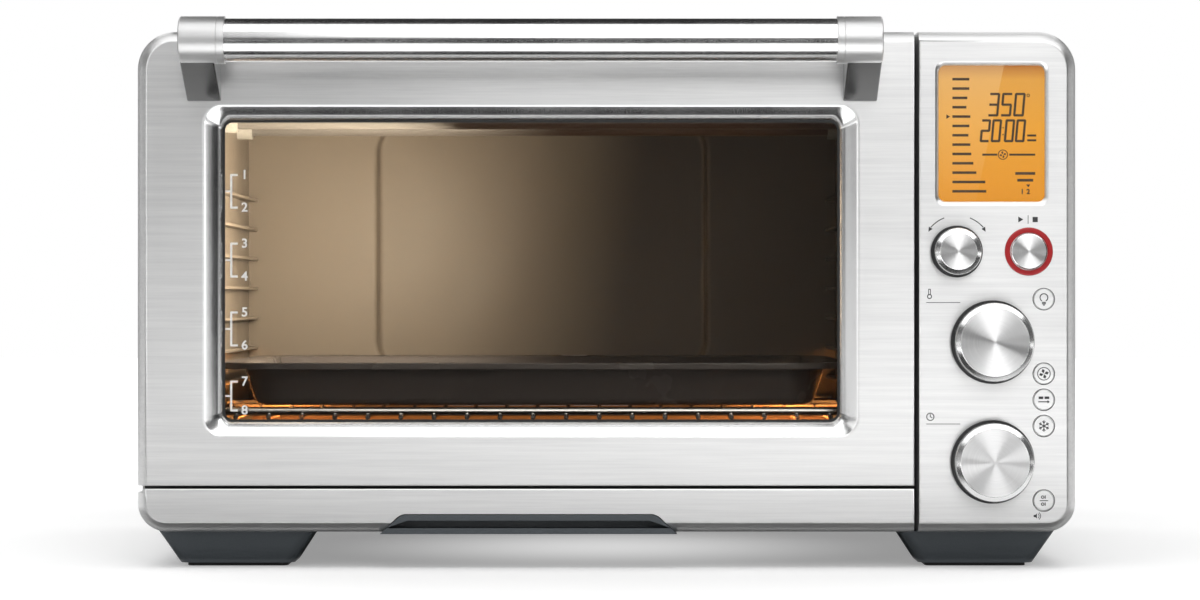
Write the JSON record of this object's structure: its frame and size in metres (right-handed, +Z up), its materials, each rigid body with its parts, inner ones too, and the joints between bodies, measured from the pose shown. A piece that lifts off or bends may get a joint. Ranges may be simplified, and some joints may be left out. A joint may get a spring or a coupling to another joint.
{
  "type": "countertop air fryer oven",
  "caption": "Countertop air fryer oven in brushed steel with a drop-down glass door, bar handle, lit display, dials, push buttons, wire rack, roasting pan and crumb tray.",
  "frame": {"origin": "on the table, under the middle of the whole oven's box, handle included", "axes": "+X to the right of someone facing the door, +Y to the back, +Z up"},
  "size_m": [0.546, 0.4446, 0.3178],
  "materials": {
    "case_steel": "brushed along the width",
    "dark_sheet": "satin",
    "cavity_enamel": "satin enamel",
    "bright_steel": "polished",
    "dial_steel": "spun face, polished bevel",
    "slate_plastic": "fine grain",
    "black_plastic": "fine grain",
    "rubber": "matte",
    "clear_glass": "clear",
    "quartz": "glowing quartz",
    "white_ceramic": "matte",
    "enamel": "gloss enamel with fine specks",
    "circuit_board": "satin",
    "display": "lit",
    "red_ring": "gloss",
    "tray_sheet": "satin",
    "insulation": "felted"
  },
  "bodies": {
    "chassis": {"outer_wrap": "case_steel", "rear_panel": "dark_sheet", "base_pan": "dark_sheet", "front_frame": "dark_sheet", "lower_strip": "case_steel", "control_panel": "case_steel", "control_bulkhead": "dark_sheet", "feet": "slate_plastic", "foot_pads": "rubber", "cavity_left_wall": "cavity_enamel", "cavity_right_wall": "cavity_enamel", "rack_rails": "cavity_enamel", "cavity_ceiling": "cavity_enamel", "cavity_back_wall": "cavity_enamel", "floor_slopes": "cavity_enamel", "upper_heaters": "quartz", "lower_heaters": "quartz", "heater_caps": "white_ceramic", "fan_housing": "dark_sheet", "fan_motor": "dark_sheet", "lamp_housing": "tray_sheet", "lamp_bulb": "clear_glass", "lamp_lens": "clear_glass", "temperature_probe": "bright_steel", "insulation_blanket": "insulation", "control_board": "circuit_board", "panel_switches": "black_plastic", "lcd_module": "display", "display_lens": "clear_glass", "start_ring": "red_ring", "power_board": "circuit_board", "cord_gland": "black_plastic", "case_screws": "bright_steel", "hinge_brackets": "dark_sheet", "door_bumpers": "rubber"},
    "door": {"door_skin": "case_steel", "door_liner": "dark_sheet", "outer_glass": "clear_glass", "inner_glass": "clear_glass", "window_seal": "rubber", "handle_tube": "bright_steel", "handle_bracket_left": "bright_steel", "handle_bracket_right": "bright_steel", "handle_screws": "bright_steel", "hinge_knuckles": "dark_sheet"},
    "rack": {"wire_rack": "bright_steel"},
    "pan": {"roasting_pan": "enamel"},
    "tray": {"crumb_tray": "tray_sheet", "tray_grip": "slate_plastic"},
    "fan": {"fan_impeller": "tray_sheet"},
    "select_stem": {"select_plunger": "black_plastic"},
    "select_knob": {"select_dial": "dial_steel"},
    "temp_knob": {"temp_dial": "dial_steel"},
    "time_knob": {"time_dial": "dial_steel"},
    "start_key": {"start_button": "dial_steel"},
    "light_key": {"light_button": "dial_steel"},
    "fan_key": {"fan_button": "dial_steel"},
    "phase_key": {"phase_button": "dial_steel"},
    "frozen_key": {"frozen_button": "dial_steel"},
    "unit_key": {"unit_button": "dial_steel"}
  },
  "joints": [
    {"name": "door_hinge", "type": "hinge", "parent": "chassis", "child": "door", "pos_m": [-0.04715, -0.1687, 0.055], "axis": [1, 0, 0], "range_deg": [0, 90]},
    {"name": "rack_slide", "type": "slide", "parent": "chassis", "child": "rack", "axis": [0, -1, 0], "range_m": [0, 0.0707]},
    {"name": "pan_lift", "type": "slide", "parent": "rack", "child": "pan", "axis": [0, 0, 1], "range_m": [0, 0.1]},
    {"name": "tray_slide", "type": "slide", "parent": "chassis", "child": "tray", "axis": [0, -1, 0], "range_m": [0, 0.2]},
    {"name": "fan_spin", "type": "hinge", "parent": "chassis", "child": "fan", "pos_m": [0.1813, 0.0193, 0.172], "axis": [1, 0, 0], "continuous": true},
    {"name": "select_press", "type": "slide", "parent": "chassis", "child": "select_stem", "axis": [0, 1, 0], "range_m": [0, 0.001], "stiffness_N_per_m": 400},
    {"name": "select_turn", "type": "hinge", "parent": "select_stem", "child": "select_knob", "pos_m": [0.2029, -0.1757, 0.184], "axis": [0, 1, 0], "continuous": true},
    {"name": "temp_turn", "type": "hinge", "parent": "chassis", "child": "temp_knob", "pos_m": [0.2237, -0.1757, 0.1315], "axis": [0, 1, 0], "continuous": true},
    {"name": "time_turn", "type": "hinge", "parent": "chassis", "child": "time_knob", "pos_m": [0.2237, -0.1757, 0.0621], "axis": [0, 1, 0], "continuous": true},
    {"name": "start_press", "type": "slide", "parent": "chassis", "child": "start_key", "axis": [0, 1, 0], "range_m": [0, 0.001], "stiffness_N_per_m": 400},
    {"name": "light_press", "type": "slide", "parent": "chassis", "child": "light_key", "axis": [0, 1, 0], "range_m": [0, 0.001], "stiffness_N_per_m": 400},
    {"name": "fan_press", "type": "slide", "parent": "chassis", "child": "fan_key", "axis": [0, 1, 0], "range_m": [0, 0.001], "stiffness_N_per_m": 400},
    {"name": "phase_press", "type": "slide", "parent": "chassis", "child": "phase_key", "axis": [0, 1, 0], "range_m": [0, 0.001], "stiffness_N_per_m": 400},
    {"name": "frozen_press", "type": "slide", "parent": "chassis", "child": "frozen_key", "axis": [0, 1, 0], "range_m": [0, 0.001], "stiffness_N_per_m": 400},
    {"name": "unit_press", "type": "slide", "parent": "chassis", "child": "unit_key", "axis": [0, 1, 0], "range_m": [0, 0.001], "stiffness_N_per_m": 400}
  ],
  "couplings": [
    {"joint": "rack_slide", "follows": "door_hinge", "m_per_rad": 0.045}
  ]
}
